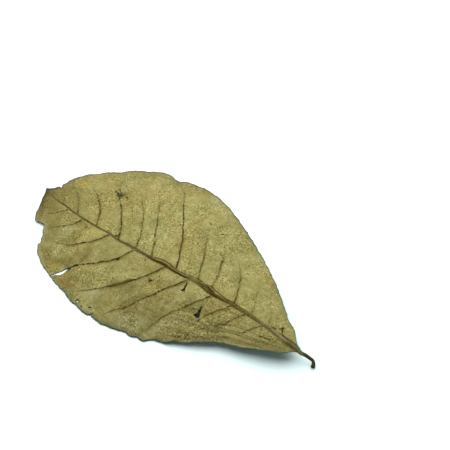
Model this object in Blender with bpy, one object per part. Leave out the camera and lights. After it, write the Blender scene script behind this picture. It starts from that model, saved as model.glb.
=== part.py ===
"""One dried Indian almond leaf, lying on a flat surface with its veined face up.

Metres, +Z up. The midrib runs along +Y, the surface is z = 0 and the origin is on it under the middle of
the leaf's box. Stalk, midrib, side veins and blade are one grown piece. Sizes are in millimetres until
the mesh is written.
"""
import math

import bmesh
import bpy
import numpy as np

MM = 0.001
# middle of the leaf's box, seen from above, with the foot of the blade at zero
MIDDLE_OF_BOX = (5.06, 94.23)

# the blade
BLADE_LENGTH = 200.4
BLADE_THICKNESS = 0.7
LEAST_CLEARANCE = 0.4
REST_SPOT_RADIUS = 13.0
REST_SPOTS = ((-45.0, 149.0), (59.0, 129.0))

# the stalk, which hooks to the left and stands on its cut end
STALK_END = -12.4
STALK_ALONG = (-12.4, -11.3, -9.4, -7.0, -4.0, -2.2, 0.0)
STALK_PATH = (
    (-0.5, -10.7), (0.6, -10.3), (1.9, -9.0), (1.5, -6.6), (0.5, -3.8), (-0.3, -2.2), (-0.3, 0.0),
)

# the midrib, seen from above: where it is at each distance from the foot of the blade
MIDRIB_AT = (
    0, 12, 25, 35, 45, 54, 60, 64, 70, 77, 83, 90, 96, 100, 104, 107, 112, 118, 125, 132, 140, 148, 156, 165,
    172.4, 180, 190, 197, 200.4,
)
MIDRIB_X = (
    -0.35, -0.6, -0.7, -0.9, -1.2, -2.0, -2.0, -1.75, -1.45, -1.4, -2.4, -3.0, -2.65, -3.0, -3.9, -4.35,
    -4.45, -4.7, -4.6, -5.35, -4.45, -4.8, -4.85, -4.6, -4.2, -3.05, -2.35, -0.45, 0.9,
)

# half the rib's width, its rise above the blade and its depth below the blade
RIB_AT = (
    -12.4, -11.7, -10.6, -6, -2, 0, 8, 18, 25, 35, 45, 54, 60, 64, 70, 77, 84, 90, 96, 100, 104, 108, 118, 130,
    160, 190, 200.4,
)
RIB_HALF_WIDTH = (
    1.3, 1.25, 1.1, 1.1, 1.25, 1.4, 1.35, 1.2, 1.05, 1.2, 1.3, 1.35, 2.0, 2.2, 1.6, 1.55, 1.35, 1.25, 1.6, 1.5,
    0.95, 0.8, 0.75, 0.55, 0.5, 0.4, 0,
)
RIB_RISE = (
    1.3, 1.3, 1.2, 1.25, 1.4, 1.45, 1.4, 1.3, 1.2, 1.2, 1.2, 1.15, 1.15, 1.1, 1.1, 1.1, 1.05, 1.0, 1.0, 1.0,
    0.9, 0.8, 0.75, 0.6, 0.5, 0.3, 0,
)
RIB_DEPTH = (
    1.3, 1.3, 1.2, 1.25, 1.2, 1.1, 1.0, 0.95, 0.9, 0.9, 0.9, 0.9, 0.85, 0.85, 0.85, 0.8, 0.8, 0.75, 0.7, 0.65,
    0.6, 0.55, 0.5, 0.4, 0.3, 0.2, 0,
)
# the rib's section: angle from upright, and the share of the round height left by its dried grooves
RIB_ANGLES = (-90, -66, -42, -18, 4, 24, 44, 66, 90)
RIB_GROOVES = (1.0, 1.0, 1.08, 0.72, 1.0, 0.74, 1.1, 1.05, 1.0)

# the edges, from the foot of the blade to its tip
RIGHT_EDGE = (
    (1.4, 0.0), (2.0, 2.4), (4.0, 4.6), (8.6, 9.2), (12.3, 16.0), (20.2, 25.5), (30.4, 39.9), (36.6, 49.9),
    (46.3, 66.6), (49.0, 72.7), (54.3, 84.1), (56.7, 90.5), (59.8, 96.5), (62.0, 103.0), (64.1, 112.3),
    (64.2, 120.5), (63.2, 127.0), (60.8, 135.0), (58.0, 139.6), (59.1, 144.3), (58.8, 147.9), (57.2, 151.4),
    (54.7, 155.0), (50.8, 158.6), (47.5, 163.5), (44.4, 167.5), (41.3, 169.6), (38.5, 172.9), (32.0, 180.7),
    (26.7, 187.1), (19.2, 191.5), (12.4, 193.4), (9.2, 193.8), (7.1, 192.7), (7.0, 194.4), (4.6, 195.8),
    (2.3, 198.1), (0.9, 200.4),
)
LEFT_EDGE = (
    (-2.0, 0.0), (-3.5, 2.3), (-6.6, 4.5), (-9.3, 8.9), (-12.6, 14.5), (-16.9, 24.0), (-20.1, 30.7),
    (-22.0, 37.1), (-25.4, 43.3), (-30.5, 50.2), (-38.5, 62.6), (-41.5, 67.5), (-42.9, 71.9), (-45.1, 75.1),
    (-47.6, 76.7), (-47.7, 81.5), (-49.2, 84.1), (-49.3, 87.8), (-52.4, 98.4), (-53.6, 103.8),
    (-53.6, 108.6), (-53.5, 113.0), (-54.1, 116.2), (-53.2, 124.8), (-52.2, 131.8), (-50.6, 136.2),
    (-48.9, 146.1), (-47.1, 151.4), (-45.3, 157.8), (-42.3, 164.3), (-40.2, 168.0), (-38.7, 170.1),
    (-36.6, 171.4), (-35.2, 173.2), (-33.0, 172.7), (-30.9, 174.0), (-28.3, 175.0), (-26.7, 176.9),
    (-24.7, 178.4), (-22.4, 179.4), (-21.6, 183.7), (-22.7, 187.1), (-20.4, 189.4), (-14.6, 192.4),
    (-7.2, 196.0), (-1.9, 198.5), (0.9, 200.4),
)
# small raggedness of the edge: height, length of one wave along the edge, phase
EDGE_RAGS = ((0.14, 11.3, 0.4), (0.13, 6.1, 2.1), (0.10, 3.7, 4.0))

# side veins: where each leaves the midrib, the share of the edge it makes for, its bow towards the
# stalk, its sway, its rise above the blade, and the share of its way on which it shows
RIGHT_VEINS = (
    (12.0, 0.095, 0.00, 0.00, 0.30, 0.40),
    (22.5, 0.175, 0.00, 0.00, 0.35, 0.45),
    (34.4, 0.262, 0.01, 0.00, 0.45, 0.50),
    (46.7, 0.356, -0.02, 0.03, 0.60, 0.55),
    (64.0, 0.427, 0.01, 0.02, 0.60, 0.60),
    (74.0, 0.500, -0.02, 0.01, 0.60, 0.58),
    (89.4, 0.611, 0.02, 0.01, 0.65, 0.90),
    (106.9, 0.682, 0.01, 0.00, 0.65, 0.74),
    (119.4, 0.748, 0.06, 0.01, 0.65, 0.70),
    (132.8, 0.803, 0.04, 0.01, 0.70, 0.70),
    (151.8, 0.902, 0.16, 0.00, 0.60, 0.74),
    (168.3, 0.942, 0.17, -0.02, 0.50, 0.82),
    (182.0, 0.968, 0.12, 0.00, 0.30, 0.60),
)
LEFT_VEINS = (
    (12.0, 0.092, -0.01, 0.00, 0.30, 0.50),
    (24.8, 0.180, -0.02, 0.01, 0.40, 0.60),
    (36.9, 0.269, -0.01, 0.01, 0.45, 0.60),
    (46.7, 0.314, -0.04, 0.00, 0.55, 0.66),
    (60.1, 0.388, -0.06, 0.02, 0.60, 0.90),
    (78.1, 0.520, 0.03, -0.01, 0.60, 0.92),
    (95.7, 0.622, 0.07, 0.01, 0.65, 0.88),
    (119.4, 0.689, 0.02, 0.04, 0.70, 0.95),
    (139.9, 0.817, 0.15, 0.00, 0.65, 0.78),
    (162.3, 0.826, -0.03, 0.07, 0.55, 0.80),
    (175.7, 0.924, 0.15, 0.00, 0.45, 0.72),
)
VEIN_FLANK = 1.1

# drying wrinkles of the left half near the foot: height, and one wave as a share of the way to the edge
WRINKLE_HEIGHT = 0.45
WRINKLE_WAVE = 0.27

# how the blade lies: height of the midrib, and of each edge, over the surface
RIDGE_AT = (-12.4, -11.3, -9.4, -7.0, -4.0, -2.2, 0, 20, 45, 90, 140, 190, 200.4)
RIDGE_HEIGHT = (1.15, 1.9, 3.0, 4.7, 6.5, 7.4, 8.0, 11.0, 12.5, 11.0, 7.0, 2.0, 0.9)
SPAN_AT = (0, 10, 25, 50, 75, 100, 120, 140, 160, 175, 188, 200.4)
RIGHT_SPAN = (12, 14, 21, 37, 53, 65, 68, 64, 57, 42, 26, 14)
LEFT_SPAN = (12, 13, 18, 31, 44, 49, 49, 45, 39, 31, 22, 14)
EDGE_AT = (0, 20, 40, 60, 80, 100, 120, 135, 150, 170, 190, 200.4)
RIGHT_EDGE_HEIGHT = (7.5, 7.5, 6.5, 5.0, 3.5, 2.0, 0.6, 0.5, 1.2, 1.6, 1.2, 0.9)
LEFT_EDGE_HEIGHT = (7.5, 7.2, 4.6, 1.6, -0.4, -0.4, -0.4, -0.3, 0.0, 0.2, 0.6, 0.9)

# split along a vein, nick in the edge, and slots right through: outlines seen from above
SPLIT = (
    (-52.0, 152.2), (-46.8, 151.5), (-44.6, 150.1), (-42.7, 149.3), (-40.1, 147.9), (-38.0, 147.3),
    (-36.6, 146.3), (-35.4, 144.4), (-35.8, 144.0), (-37.2, 145.2), (-38.8, 146.0), (-40.9, 146.1),
    (-42.9, 146.8), (-44.8, 149.1), (-47.0, 150.9), (-52.0, 151.4),
)
NICK = ((-57.5, 113.9), (-53.7, 112.9), (-50.9, 112.6), (-53.6, 111.9), (-57.5, 111.7))
SLOT = (
    (-13.2, 60.5), (-13.1, 59.9), (-16.0, 58.9), (-17.4, 58.4), (-19.2, 57.4), (-20.1, 58.4),
    (-19.9, 60.5), (-19.2, 61.3), (-18.1, 60.1), (-16.4, 60.3),
)
CRACK = (
    (-5.6, 77.9), (-5.7, 77.3), (-9.0, 76.1), (-10.6, 75.8), (-11.6, 76.5), (-11.3, 77.7), (-10.5, 77.0),
    (-9.0, 76.9),
)
# round holes: middle, and half the width and length
HOLES = (
    (-50.3, 125.5, 0.9, 0.8),
    (-49.5, 116.3, 0.7, 0.8),
    (-52.0, 120.8, 0.4, 0.4),
)

# shares of the way from midrib to edge at which the blade has a line of points
BLADE_SHARES = (0.0, 0.10, 0.23, 0.37, 0.51, 0.65, 0.78, 0.90, 1.0)
WIDEST_STEP = 3.6


def smooth(at, knots, values):
    """Smooth curve through the values at the knots, read at each place asked for."""
    knots = np.asarray(knots, float)
    values = np.asarray(values, float)
    slopes = np.gradient(values, knots, axis=0)
    at = np.clip(at, knots[0], knots[-1])
    i = np.clip(np.searchsorted(knots, at, side="right") - 1, 0, len(knots) - 2)
    step = knots[i + 1] - knots[i]
    u = (at - knots[i]) / step
    if values.ndim == 2:
        step = step[..., None]
        u = u[..., None]
    start = (1 + 2 * u) * (1 - u) ** 2 * values[i] + u * (1 - u) ** 2 * step * slopes[i]
    end = u**2 * (3 - 2 * u) * values[i + 1] - u**2 * (1 - u) * step * slopes[i + 1]
    return start + end


def ramp(x, low, high):
    """Goes smoothly from 0 at low to 1 at high."""
    u = np.clip((x - low) / (high - low), 0, 1)
    return u * u * (3 - 2 * u)


def edge_point(edge, share):
    """Point of an edge at a share of its length, with its small rags, seen from above."""
    edge = np.array(edge)
    step = np.hypot(*np.diff(edge, axis=0).T)
    length = step.sum()
    knots = np.r_[0.0, np.cumsum(step)] / length
    point = smooth(share, knots, edge)
    ahead = smooth(share + 0.004, knots, edge) - smooth(share - 0.004, knots, edge)
    away = np.stack([ahead[..., 1], -ahead[..., 0]], -1) / np.linalg.norm(ahead, axis=-1)[..., None]
    rag = sum(h * np.sin(2 * math.pi * share * length / w + p) for h, w, p in EDGE_RAGS)
    held = ramp(share, 0.02, 0.08) * ramp(1 - share, 0.0, 0.06)
    return point + (rag * held)[..., None] * away


def land_on_corners(ends, edge):
    """Moves the nearest row's end onto each sharp corner of the edge."""
    steps = np.diff(np.array(edge), axis=0)
    lengths = np.hypot(*steps.T)
    shares = np.cumsum(lengths)[:-1] / lengths.sum()
    heading = np.arctan2(steps[:, 1], steps[:, 0])
    turn = np.abs((np.diff(heading) + math.pi) % (2 * math.pi) - math.pi)
    for share in shares[turn > math.radians(34)]:
        ends[np.argmin(np.abs(ends - share))] = share
    return ends


def midrib_x(y):
    return smooth(y, MIDRIB_AT, MIDRIB_X)


def level(x, y):
    """Height of the blade's underside over the surface at a place seen from above."""
    off = x - midrib_x(y)
    right = off > 0
    span = np.where(right, smooth(y, SPAN_AT, RIGHT_SPAN), smooth(y, SPAN_AT, LEFT_SPAN))
    edge = np.where(right, smooth(y, EDGE_AT, RIGHT_EDGE_HEIGHT), smooth(y, EDGE_AT, LEFT_EDGE_HEIGHT))
    s = np.clip(np.abs(off) / span, 0, 1.1)
    ridge = smooth(y, RIDGE_AT, RIDGE_HEIGHT)
    high = ridge + (edge - ridge) * s**1.6
    side = np.where(right, 1.0, -1.0)
    high = high + 0.7 * s**2 * np.sin(2 * math.pi * (y / 41.0 + 0.13 * side))
    high = high + 0.35 * s**1.5 * np.sin(2 * math.pi * (y / 17.5 + 0.31 * side + 0.8 * s))
    rippled = np.where(right, 0, ramp(y, 54, 62) * (1 - ramp(y, 86, 96)))
    high = high + 0.7 * rippled * s**5 * np.sin(2 * math.pi * y / 10.0)
    high = np.maximum(high, LEAST_CLEARANCE)
    for cx, cy in REST_SPOTS:
        near = 1 - ramp(np.hypot(x - cx, y - cy), 0.45 * REST_SPOT_RADIUS, REST_SPOT_RADIUS)
        high = high * (1 - near) - 0.3 * near
    return np.maximum(high, 0)


def between_veins(along, veins):
    """0 on a side vein, 1 halfway between two."""
    roots = np.array([0.0] + [v[0] for v in veins] + [BLADE_LENGTH])
    i = np.clip(np.searchsorted(roots, along, side="right") - 1, 0, len(roots) - 2)
    return np.sin(math.pi * (along - roots[i]) / (roots[i + 1] - roots[i]))


def vein_rise(along, share, veins):
    """Rise of the side veins over the blade, for a point of a row at its share of the way out."""
    rise = np.zeros(np.broadcast(along, share).shape)
    for root, _end, _bow, _sway, height, shown in veins:
        near = np.clip(1 - np.abs(along - root) / VEIN_FLANK, 0, 1)
        fade = (1 - 0.5 * share) * (1 - ramp(share, shown - 0.15, shown + 0.05))
        rise = np.maximum(rise, height * near * fade)
    return rise


def wrinkles(along, share, side):
    """Height of the drying wrinkles, which fan out from the foot beside the left edge."""
    if side > 0:
        return np.zeros(np.broadcast(along, share).shape)
    held = ramp(along, 5, 14) * (1 - ramp(along, 45, 76)) * ramp(share, 0.15, 0.5)
    return WRINKLE_HEIGHT * held * np.sin(2 * math.pi * (share - 0.44) / WRINKLE_WAVE)


def row_stations():
    """Distances along the leaf at which it has a row of points: closer at each side vein."""
    fixed = set()
    for root in sorted({v[0] for v in RIGHT_VEINS + LEFT_VEINS}):
        fixed.update((round(root - VEIN_FLANK, 3), root, round(root + VEIN_FLANK, 3)))
    fixed.update((-11.7, -11.0, -10.2, -9.4, -8.4, -7.2, -5.8, -4.4, -3.0, -1.5, 0.0))
    fixed.update((66.0, 69.0, 191.0, 195.0, 197.8, 199.6, BLADE_LENGTH))
    stations = sorted(fixed)
    rows = [STALK_END, STALK_END]
    for here, there in zip(stations, stations[1:]):
        parts = max(1, math.ceil((there - here) / WIDEST_STEP))
        rows += [here + (there - here) * k / parts for k in range(parts)]
    rows.append(stations[-1])
    return np.array(rows)


def leaf_grid():
    """Top and under points of the leaf: one row for each station, one column for each line along it."""
    along = row_stations()
    count = len(along)
    stalk = smooth(along, STALK_ALONG, STALK_PATH)
    on_blade = along >= 0
    centre_x = np.where(on_blade, midrib_x(along), stalk[:, 0])
    centre_y = np.where(on_blade, along, stalk[:, 1])
    ahead = smooth(along + 0.4, STALK_ALONG, STALK_PATH) - smooth(along - 0.4, STALK_ALONG, STALK_PATH)
    turn = np.where(along < -0.5, np.arctan2(ahead[:, 0], np.maximum(ahead[:, 1], 1e-6)), 0)
    turn = turn * (1 - ramp(along, -3.0, 0.0))
    sideways = np.stack([np.cos(turn), -np.sin(turn)], 1)
    size = np.ones(count)
    size[0] = 0
    half = smooth(along, RIB_AT, RIB_HALF_WIDTH) * size
    rise = smooth(along, RIB_AT, RIB_RISE) * size
    depth = smooth(along, RIB_AT, RIB_DEPTH) * size
    thick = BLADE_THICKNESS * ramp(along, -1.3, 1.5)
    groove = ramp(along, -9.0, 6.0) * (1 - ramp(along, 120, 150))
    columns = []
    for side, edge, veins in ((-1, LEFT_EDGE, LEFT_VEINS), (1, RIGHT_EDGE, RIGHT_VEINS)):
        roots = [0.0] + [v[0] for v in veins] + [BLADE_LENGTH]
        ends = [0.0] + [v[1] for v in veins] + [1.0]
        bow = np.interp(along, roots, [0.0] + [v[2] for v in veins] + [0.0])
        sway = np.interp(along, roots, [0.0] + [v[3] for v in veins] + [0.0])
        out = edge_point(edge, land_on_corners(np.interp(along, roots, ends), edge))
        foot = np.stack([centre_x, centre_y], 1) + side * half[:, None] * sideways
        way = np.where(on_blade[:, None], out - foot, 0)
        back = side * np.stack([way[:, 1], -way[:, 0]], 1)
        shares = BLADE_SHARES if side > 0 else BLADE_SHARES[::-1]
        for s in shares:
            bend = 4 * s * (1 - s) * bow + math.sin(2 * math.pi * s) * sway
            spot = foot + way * s + back * bend[:, None]
            under = np.where(on_blade, level(spot[:, 0], spot[:, 1]), 0)
            puff = 0.35 * between_veins(along, veins) * math.sin(math.pi * s)
            puff = (puff + wrinkles(along, s, side)) * ramp(under, 0.5, 2.5) * on_blade
            vein = vein_rise(along, s, veins) * (s > 0) * on_blade
            top = under + thick + puff + vein
            drop = np.minimum(0.45 * vein, under * 0.6)
            columns.append((spot, top, under + puff - drop))
        if side < 0:
            for angle, cut in zip(RIB_ANGLES[1:-1], RIB_GROOVES[1:-1]):
                a = math.radians(angle)
                shape = math.cos(a) * (1 + (cut - 1) * groove)
                spot = np.stack([centre_x, centre_y], 1) + (math.sin(a) * half)[:, None] * sideways
                under = np.where(on_blade, level(spot[:, 0], spot[:, 1]), 0)
                top = under + thick + rise * shape
                columns.append((spot, top, under - depth * math.cos(a)))
    lift = np.where(on_blade, 0, smooth(along, RIDGE_AT, RIDGE_HEIGHT))
    top_grid = [np.column_stack([spot, np.maximum(top + lift, 0)]) for spot, top, under in columns]
    under_grid = [np.column_stack([spot, np.maximum(under + lift, 0)]) for spot, top, under in columns]
    return np.swapaxes(top_grid, 0, 1), np.swapaxes(under_grid, 0, 1)


def closed_mesh(name, top, under):
    """Closed skin over the two grids, both split into triangles alike, with a wall round the edge."""
    rows, columns = top.shape[:2]
    mesh = bmesh.new()
    shift = np.array([MIDDLE_OF_BOX[0], MIDDLE_OF_BOX[1], 0.0])
    upper = [[mesh.verts.new((p - shift) * MM) for p in row] for row in top]
    lower = [[mesh.verts.new((p - shift) * MM) for p in row] for row in under]
    for i in range(rows - 1):
        for j in range(columns - 1):
            a, b, c, d = upper[i][j], upper[i][j + 1], upper[i + 1][j + 1], upper[i + 1][j]
            e, f, g, h = lower[i][j], lower[i][j + 1], lower[i + 1][j + 1], lower[i + 1][j]
            if j < columns // 2:
                mesh.faces.new((a, b, c))
                mesh.faces.new((a, c, d))
                mesh.faces.new((e, g, f))
                mesh.faces.new((e, h, g))
            else:
                mesh.faces.new((a, b, d))
                mesh.faces.new((b, c, d))
                mesh.faces.new((e, h, f))
                mesh.faces.new((f, h, g))
        right = columns - 1
        mesh.faces.new((upper[i][right], lower[i][right], lower[i + 1][right]))
        mesh.faces.new((upper[i][right], lower[i + 1][right], upper[i + 1][right]))
        mesh.faces.new((upper[i][0], upper[i + 1][0], lower[i + 1][0]))
        mesh.faces.new((upper[i][0], lower[i + 1][0], lower[i][0]))
    bmesh.ops.remove_doubles(mesh, verts=mesh.verts, dist=1e-7)
    bmesh.ops.recalc_face_normals(mesh, faces=mesh.faces)
    data = bpy.data.meshes.new(name)
    mesh.to_mesh(data)
    mesh.free()
    made = bpy.data.objects.new(name, data)
    bpy.context.scene.collection.objects.link(made)
    return made


def upright_cutter(name, outline, low=-4.0, high=22.0):
    """Hidden upright prism with the outline given, seen from above."""
    mesh = bmesh.new()
    ring = [(x - MIDDLE_OF_BOX[0], y - MIDDLE_OF_BOX[1]) for x, y in outline]
    bottom = [mesh.verts.new((x * MM, y * MM, low * MM)) for x, y in ring]
    top = [mesh.verts.new((x * MM, y * MM, high * MM)) for x, y in ring]
    for i, here in enumerate(bottom):
        j = (i + 1) % len(bottom)
        mesh.faces.new((here, bottom[j], top[j], top[i]))
    mesh.faces.new(bottom)
    mesh.faces.new(top)
    bmesh.ops.triangulate(mesh, faces=mesh.faces)
    bmesh.ops.recalc_face_normals(mesh, faces=mesh.faces)
    data = bpy.data.meshes.new(name)
    mesh.to_mesh(data)
    mesh.free()
    made = bpy.data.objects.new(name, data)
    made.hide_render = True
    made.display_type = "WIRE"
    bpy.context.scene.collection.objects.link(made)
    return made


def cut(part, cutter):
    modifier = part.modifiers.new(cutter.name, "BOOLEAN")
    modifier.operation = "DIFFERENCE"
    modifier.solver = "EXACT"
    modifier.object = cutter


def dried_leaf_material():
    material = bpy.data.materials.new("dried_leaf")
    material.use_nodes = True
    shader = material.node_tree.nodes["Principled BSDF"]
    shader.inputs["Base Color"].default_value = (0.366, 0.327, 0.122, 1)
    shader.inputs["Roughness"].default_value = 0.8
    shader.inputs["Metallic"].default_value = 0.0
    return material


for old in list(bpy.data.objects):
    bpy.data.objects.remove(old, do_unlink=True)

top_grid, under_grid = leaf_grid()
leaf = closed_mesh("leaf", top_grid, under_grid)
leaf.data.materials.append(dried_leaf_material())
for gap_name, gap in (("split", SPLIT), ("nick", NICK), ("slot", SLOT), ("crack", CRACK)):
    cut(leaf, upright_cutter(gap_name + "_cutter", gap))
for number, (cx, cy, rx, ry) in enumerate(HOLES):
    ring = [(cx + rx * math.cos(k * math.pi / 4), cy + ry * math.sin(k * math.pi / 4)) for k in range(8)]
    cut(leaf, upright_cutter(f"hole_cutter_{number}", ring))
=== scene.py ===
"""Looks of one dried Indian almond leaf lying on a pale surface, seen as in the photograph."""

import math

import bmesh
import bpy
import numpy as np
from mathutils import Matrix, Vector


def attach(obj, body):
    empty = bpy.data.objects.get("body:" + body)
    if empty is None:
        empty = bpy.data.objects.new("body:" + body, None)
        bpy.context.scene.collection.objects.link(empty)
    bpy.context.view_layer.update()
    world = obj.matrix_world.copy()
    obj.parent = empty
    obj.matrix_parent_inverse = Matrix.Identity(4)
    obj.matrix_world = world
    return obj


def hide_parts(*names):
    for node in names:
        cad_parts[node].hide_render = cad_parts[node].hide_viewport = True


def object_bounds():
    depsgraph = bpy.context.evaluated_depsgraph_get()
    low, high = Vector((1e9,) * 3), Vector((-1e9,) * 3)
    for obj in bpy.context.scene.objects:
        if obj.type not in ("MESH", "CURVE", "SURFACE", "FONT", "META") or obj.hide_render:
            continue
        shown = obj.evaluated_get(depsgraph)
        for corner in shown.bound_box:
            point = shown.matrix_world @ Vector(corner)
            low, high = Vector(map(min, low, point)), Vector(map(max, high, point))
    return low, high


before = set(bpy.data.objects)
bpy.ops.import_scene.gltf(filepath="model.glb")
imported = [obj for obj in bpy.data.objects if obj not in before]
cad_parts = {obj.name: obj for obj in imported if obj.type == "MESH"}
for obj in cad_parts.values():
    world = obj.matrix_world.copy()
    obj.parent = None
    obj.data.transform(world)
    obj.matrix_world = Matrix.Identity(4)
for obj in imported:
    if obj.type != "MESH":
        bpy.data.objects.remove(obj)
CAD_LOW, CAD_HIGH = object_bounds()

# ---- sizes in millimetres, as in the part
MM = 0.001
MIDDLE_OF_BOX = (5.06, 94.23)
BLADE_LENGTH = 200.4
BLADE_THICKNESS = 0.45
LEAST_CLEARANCE = 0.4
# the two low spots that it rests on, how much of each lies flat, and how far that is pressed down
REST_SPOT_RADIUS = 13.0
REST_SPOTS = ((-45.0, 149.0), (59.0, 129.0))
REST_SPOT_FLAT_SHARE = 0.45
REST_SPOT_PRESS = 0.3

STALK_END = -12.4
STALK_ALONG = (-12.4, -11.3, -9.4, -7.0, -4.0, -2.2, 0.0)
STALK_PATH = (
    (-0.5, -10.7), (0.6, -10.3), (1.9, -9.0), (1.5, -6.6), (0.5, -3.8), (-0.3, -2.2), (-0.3, 0.0),
)

MIDRIB_AT = (
    0, 12, 25, 35, 45, 54, 60, 64, 70, 77, 83, 90, 96, 100, 104, 107, 112, 118, 125, 132, 140, 148, 156, 165,
    172.4, 180, 190, 197, 200.4,
)
MIDRIB_X = (
    -0.35, -0.6, -0.7, -0.9, -1.2, -2.0, -2.0, -1.75, -1.45, -1.4, -2.4, -3.0, -2.65, -3.0, -3.9, -4.35,
    -4.45, -4.7, -4.6, -5.35, -4.45, -4.8, -4.85, -4.6, -4.2, -3.05, -2.35, -0.45, 0.9,
)
RIB_AT = (
    -12.4, -11.7, -10.6, -6, -2, 0, 8, 18, 25, 35, 45, 54, 60, 64, 70, 77, 84, 90, 96, 100, 104, 108, 118, 130,
    160, 190, 200.4,
)
RIB_HALF_WIDTH = (
    1.3, 1.25, 1.1, 1.1, 1.25, 1.4, 1.35, 1.2, 1.05, 1.2, 1.3, 1.35, 2.0, 2.2, 1.6, 1.55, 1.35, 1.25, 1.6, 1.5,
    0.95, 0.8, 0.75, 0.55, 0.5, 0.4, 0,
)
RIB_RISE = (
    1.3, 1.3, 1.2, 1.25, 1.4, 1.45, 1.4, 1.3, 1.2, 1.2, 1.2, 1.15, 1.15, 1.1, 1.1, 1.1, 1.05, 1.0, 1.0, 1.0,
    0.9, 0.8, 0.75, 0.6, 0.5, 0.3, 0,
)
RIB_DEPTH = (
    1.3, 1.3, 1.2, 1.25, 1.2, 1.1, 1.0, 0.95, 0.9, 0.9, 0.9, 0.9, 0.85, 0.85, 0.85, 0.8, 0.8, 0.75, 0.7, 0.65,
    0.6, 0.55, 0.5, 0.4, 0.3, 0.2, 0,
)

RIGHT_EDGE = (
    (1.4, 0), (2, 2.4), (4, 4.6), (8.6, 9.2), (12.3, 16), (20.2, 25.5), (30.4, 39.9), (36.6, 49.9),
    (46.3, 66.6), (49, 72.7), (54.3, 84.1), (56.7, 90.5), (59.8, 96.5), (62, 103), (64.1, 112.3),
    (64.2, 120.5), (63.2, 127), (60.8, 135), (58, 139.6), (59.1, 144.3), (58.8, 147.9), (57.2, 151.4),
    (54.7, 155), (50.8, 158.6), (47.5, 163.5), (44.4, 167.5), (41.3, 169.6), (38.5, 172.9), (32, 180.7),
    (26.7, 187.1), (19.2, 191.5), (12.4, 193.4), (9.2, 193.8), (7.1, 192.7), (7, 194.4), (4.6, 195.8),
    (2.3, 198.1), (0.9, 200.4),
)
LEFT_EDGE = (
    (-2, 0), (-3.5, 2.3), (-6.6, 4.5), (-9.3, 8.9), (-12.6, 14.5), (-16.9, 24), (-20.1, 30.7),
    (-22, 37.1), (-25.4, 43.3), (-30.5, 50.2), (-38.5, 62.6), (-41.5, 67.5), (-42.9, 71.9), (-45.1, 75.1),
    (-47.6, 76.7), (-47.7, 81.5), (-49.2, 84.1), (-49.3, 87.8), (-52.4, 98.4), (-53.6, 103.8),
    (-53.6, 108.6), (-53.5, 113), (-54.1, 116.2), (-53.2, 124.8), (-52.2, 131.8), (-50.6, 136.2),
    (-48.9, 146.1), (-47.1, 151.4), (-45.3, 157.8), (-42.3, 164.3), (-40.2, 168), (-38.7, 170.1),
    (-36.6, 171.4), (-35.2, 173.2), (-33, 172.7), (-30.9, 174), (-28.3, 175), (-26.7, 176.9),
    (-24.7, 178.4), (-22.4, 179.4), (-21.6, 183.7), (-22.7, 187.1), (-20.4, 189.4), (-14.6, 192.4),
    (-7.2, 196), (-1.9, 198.5), (0.9, 200.4),
)
EDGE_RAGS = ((0.14, 11.3, 0.4), (0.13, 6.1, 2.1), (0.10, 3.7, 4.0))

# side veins: root on the midrib, share of the edge's length it makes for, bow, sway, rise, and the share
# of its own length that shows
RIGHT_VEINS = (
    (12, 0.095, 0, 0, 0.3, 0.4),
    (22.5, 0.175, 0, 0, 0.35, 0.45),
    (34.4, 0.262, 0.01, 0, 0.45, 0.5),
    (46.7, 0.356, -0.02, 0.03, 0.6, 0.55),
    (64, 0.427, 0.01, 0.02, 0.6, 0.6),
    (74, 0.5, -0.02, 0.01, 0.6, 0.58),
    (89.4, 0.611, 0.02, 0.01, 0.65, 0.9),
    (106.9, 0.682, 0.01, 0, 0.65, 0.74),
    (119.4, 0.748, 0.06, 0.01, 0.65, 0.7),
    (132.8, 0.803, 0.04, 0.01, 0.7, 0.7),
    (151.8, 0.902, 0.16, 0, 0.6, 0.74),
    (168.3, 0.942, 0.17, -0.02, 0.5, 0.82),
    (182, 0.968, 0.12, 0, 0.3, 0.6),
)
LEFT_VEINS = (
    (12, 0.092, -0.01, 0, 0.3, 0.5),
    (24.8, 0.18, -0.02, 0.01, 0.4, 0.6),
    (36.9, 0.269, -0.01, 0.01, 0.45, 0.6),
    (46.7, 0.314, -0.04, 0, 0.55, 0.66),
    (60.1, 0.388, -0.06, 0.02, 0.6, 0.9),
    (78.1, 0.52, 0.03, -0.01, 0.6, 0.92),
    (95.7, 0.622, 0.07, 0.01, 0.65, 0.88),
    (119.4, 0.689, 0.02, 0.04, 0.7, 0.95),
    (139.9, 0.817, 0.15, 0, 0.65, 0.78),
    (162.3, 0.826, -0.03, 0.07, 0.55, 0.8),
    (175.7, 0.924, 0.15, 0, 0.45, 0.72),
)
# how dark each side vein is drawn, in the same order
RIGHT_VEIN_DARK = (0.1, 0.12, 0.25, 0.55, 0.35, 0.4, 0.85, 0.6, 0.55, 0.95, 0.6, 0.42, 0.3)
LEFT_VEIN_DARK = (0.2, 0.4, 0.5, 0.6, 0.65, 0.8, 0.95, 1.0, 0.9, 0.6, 0.5)

RIDGE_AT = (-12.4, -11.3, -9.4, -7.0, -4.0, -2.2, 0, 20, 45, 90, 140, 190, 200.4)
RIDGE_HEIGHT = (1.15, 1.9, 3.0, 4.7, 6.5, 7.4, 8.0, 11.0, 12.5, 11.0, 7.0, 2.0, 0.9)
SPAN_AT = (0, 10, 25, 50, 75, 100, 120, 140, 160, 175, 188, 200.4)
RIGHT_SPAN = (12, 14, 21, 37, 53, 65, 68, 64, 57, 42, 26, 14)
LEFT_SPAN = (12, 13, 18, 31, 44, 49, 49, 45, 39, 31, 22, 14)
EDGE_AT = (0, 20, 40, 60, 80, 100, 120, 135, 150, 170, 190, 200.4)
RIGHT_EDGE_HEIGHT = (7.5, 7.5, 6.5, 5.0, 3.5, 2.0, 0.6, 0.5, 1.2, 1.6, 1.2, 0.9)
LEFT_EDGE_HEIGHT = (7.5, 7.2, 4.6, 1.6, -0.4, -0.4, -0.4, -0.3, 0.0, 0.2, 0.6, 0.9)

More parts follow.
